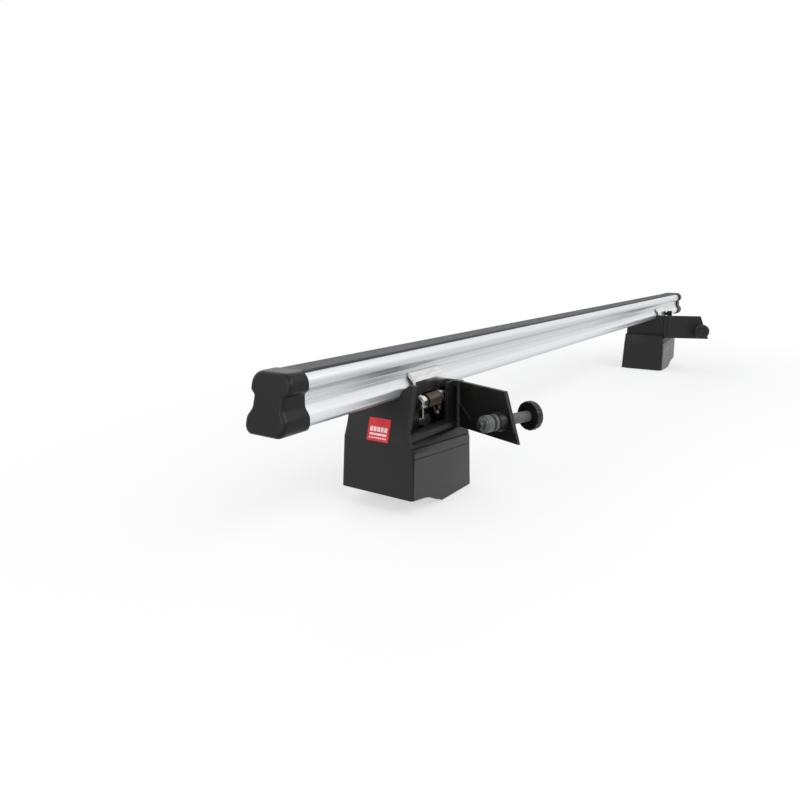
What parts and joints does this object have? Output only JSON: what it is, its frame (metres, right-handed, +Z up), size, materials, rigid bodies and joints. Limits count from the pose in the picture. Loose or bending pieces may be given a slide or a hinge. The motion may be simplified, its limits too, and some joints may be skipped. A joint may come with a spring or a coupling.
{
  "type": "roof rack crossbar",
  "caption": "Roof rack crossbar: a waisted aluminium bar with a rubber top strip, on clamp feet with spring claws and screw-locked doors.",
  "frame": {"origin": "midway between the two roof fixing holes, on the underside of the rubber base pads", "axes": "+X along the bar, +Y across it away from the doors, +Z up"},
  "size_m": [1.5328, 0.1875, 0.171],
  "materials": {
    "bar_aluminium": "satin anodised",
    "strip_rubber": "ribbed",
    "cap_plastic": "fine grain",
    "housing_plastic": "fine grain",
    "cover_plastic": "satin",
    "black_steel": "black coating",
    "pad_rubber": "soft",
    "bright_steel": "bright",
    "spring_steel": "drawn wire",
    "zinc_steel": "zinc plated",
    "grey_plastic": "smooth",
    "knob_plastic": "satin",
    "brass_insert": "turned",
    "label_film": "printed film"
  },
  "bodies": {
    "bar": {"crossbar": "bar_aluminium", "top_strip": "strip_rubber", "end_cap_left": "cap_plastic", "end_cap_right": "cap_plastic"},
    "foot_left": {"foot_shell_left": "housing_plastic", "front_cover_left": "cover_plastic", "chassis_left": "black_steel", "base_pad_left": "pad_rubber", "saddle_pad_left": "pad_rubber", "pivot_pin_left": "zinc_steel", "clamp_washer_left": "zinc_steel", "hinge_pin_left": "zinc_steel", "thumb_nut_left": "brass_insert", "label_left": "label_film", "housing_screws_left": "zinc_steel"},
    "claw_left": {"near_claw_left": "bright_steel", "claw_spring_left": "spring_steel"},
    "bolt_left": {"clamp_bolt_left": "zinc_steel"},
    "rear_claw_left": {"far_claw_left": "bright_steel", "clamp_nut_left": "zinc_steel"},
    "cover_door_left": {"door_left": "housing_plastic"},
    "sleeve_left": {"screw_sleeve_left": "grey_plastic"},
    "screw_left": {"thumb_screw_left": "zinc_steel", "knob_left": "knob_plastic", "screw_clip_left": "spring_steel"},
    "foot_right": {"foot_shell_right": "housing_plastic", "front_cover_right": "cover_plastic", "chassis_right": "black_steel", "base_pad_right": "pad_rubber", "saddle_pad_right": "pad_rubber", "pivot_pin_right": "zinc_steel", "clamp_washer_right": "zinc_steel", "hinge_pin_right": "zinc_steel", "thumb_nut_right": "brass_insert", "label_right": "label_film", "housing_screws_right": "zinc_steel"},
    "claw_right": {"near_claw_right": "bright_steel", "claw_spring_right": "spring_steel"},
    "bolt_right": {"clamp_bolt_right": "zinc_steel"},
    "rear_claw_right": {"far_claw_right": "bright_steel", "clamp_nut_right": "zinc_steel"},
    "cover_door_right": {"door_right": "housing_plastic"},
    "sleeve_right": {"screw_sleeve_right": "grey_plastic"},
    "screw_right": {"thumb_screw_right": "zinc_steel", "knob_right": "knob_plastic", "screw_clip_right": "spring_steel"}
  },
  "joints": [
    {"name": "foot_slide_left", "type": "slide", "parent": "bar", "child": "foot_left", "axis": [1, 0, 0], "range_m": [-0.12, 0.25]},
    {"name": "claw_hinge_left", "type": "hinge", "parent": "foot_left", "child": "claw_left", "pos_m": [-0.538, -0.026, 0.112], "axis": [1, 0, 0], "range_deg": [0, 20], "stiffness_Nm_per_rad": 0.15, "springref_deg": -20.05},
    {"name": "bolt_turn_left", "type": "hinge", "parent": "foot_left", "child": "bolt_left", "pos_m": [-0.538, 0, 0.088], "axis": [0, -1, 0], "range_deg": [0, 1080]},
    {"name": "rear_claw_slide_left", "type": "slide", "parent": "foot_left", "child": "rear_claw_left", "axis": [0, 1, 0], "range_m": [0, 0.00375]},
    {"name": "door_hinge_left", "type": "hinge", "parent": "foot_left", "child": "cover_door_left", "pos_m": [-0.503, -0.042, 0.103], "axis": [0, 0, 1], "range_deg": [-69.3, 25]},
    {"name": "sleeve_slide_left", "type": "slide", "parent": "cover_door_left", "child": "sleeve_left", "axis": [-0.9354, 0.3535, 0], "range_m": [0, 0.024]},
    {"name": "screw_turn_left", "type": "hinge", "parent": "sleeve_left", "child": "screw_left", "pos_m": [-0.52916, -0.11122, 0.098], "axis": [-0.9354, 0.3535, 0], "continuous": true},
    {"name": "foot_slide_right", "type": "slide", "parent": "bar", "child": "foot_right", "axis": [-1, 0, 0], "range_m": [-0.12, 0.25]},
    {"name": "claw_hinge_right", "type": "hinge", "parent": "foot_right", "child": "claw_right", "pos_m": [0.538, -0.026, 0.112], "axis": [1, 0, 0], "range_deg": [0, 20], "stiffness_Nm_per_rad": 0.15, "springref_deg": -20.05},
    {"name": "bolt_turn_right", "type": "hinge", "parent": "foot_right", "child": "bolt_right", "pos_m": [0.538, 0, 0.088], "axis": [0, -1, 0], "range_deg": [0, 1080]},
    {"name": "rear_claw_slide_right", "type": "slide", "parent": "foot_right", "child": "rear_claw_right", "axis": [0, 1, 0], "range_m": [0, 0.00375]},
    {"name": "door_hinge_right", "type": "hinge", "parent": "foot_right", "child": "cover_door_right", "pos_m": [0.503, -0.042, 0.103], "axis": [0, 0, -1], "range_deg": [-69.3, 25]},
    {"name": "sleeve_slide_right", "type": "slide", "parent": "cover_door_right", "child": "sleeve_right", "axis": [0.9354, 0.3535, 0], "range_m": [0, 0.024]},
    {"name": "screw_turn_right", "type": "hinge", "parent": "sleeve_right", "child": "screw_right", "pos_m": [0.52916, -0.11122, 0.098], "axis": [0.9354, 0.3535, 0], "continuous": true}
  ],
  "couplings": [
    {"joint": "bolt_turn_left", "follows": "rear_claw_slide_left", "rad_per_m": 5026.5},
    {"joint": "bolt_turn_right", "follows": "rear_claw_slide_right", "rad_per_m": 5026.5}
  ]
}
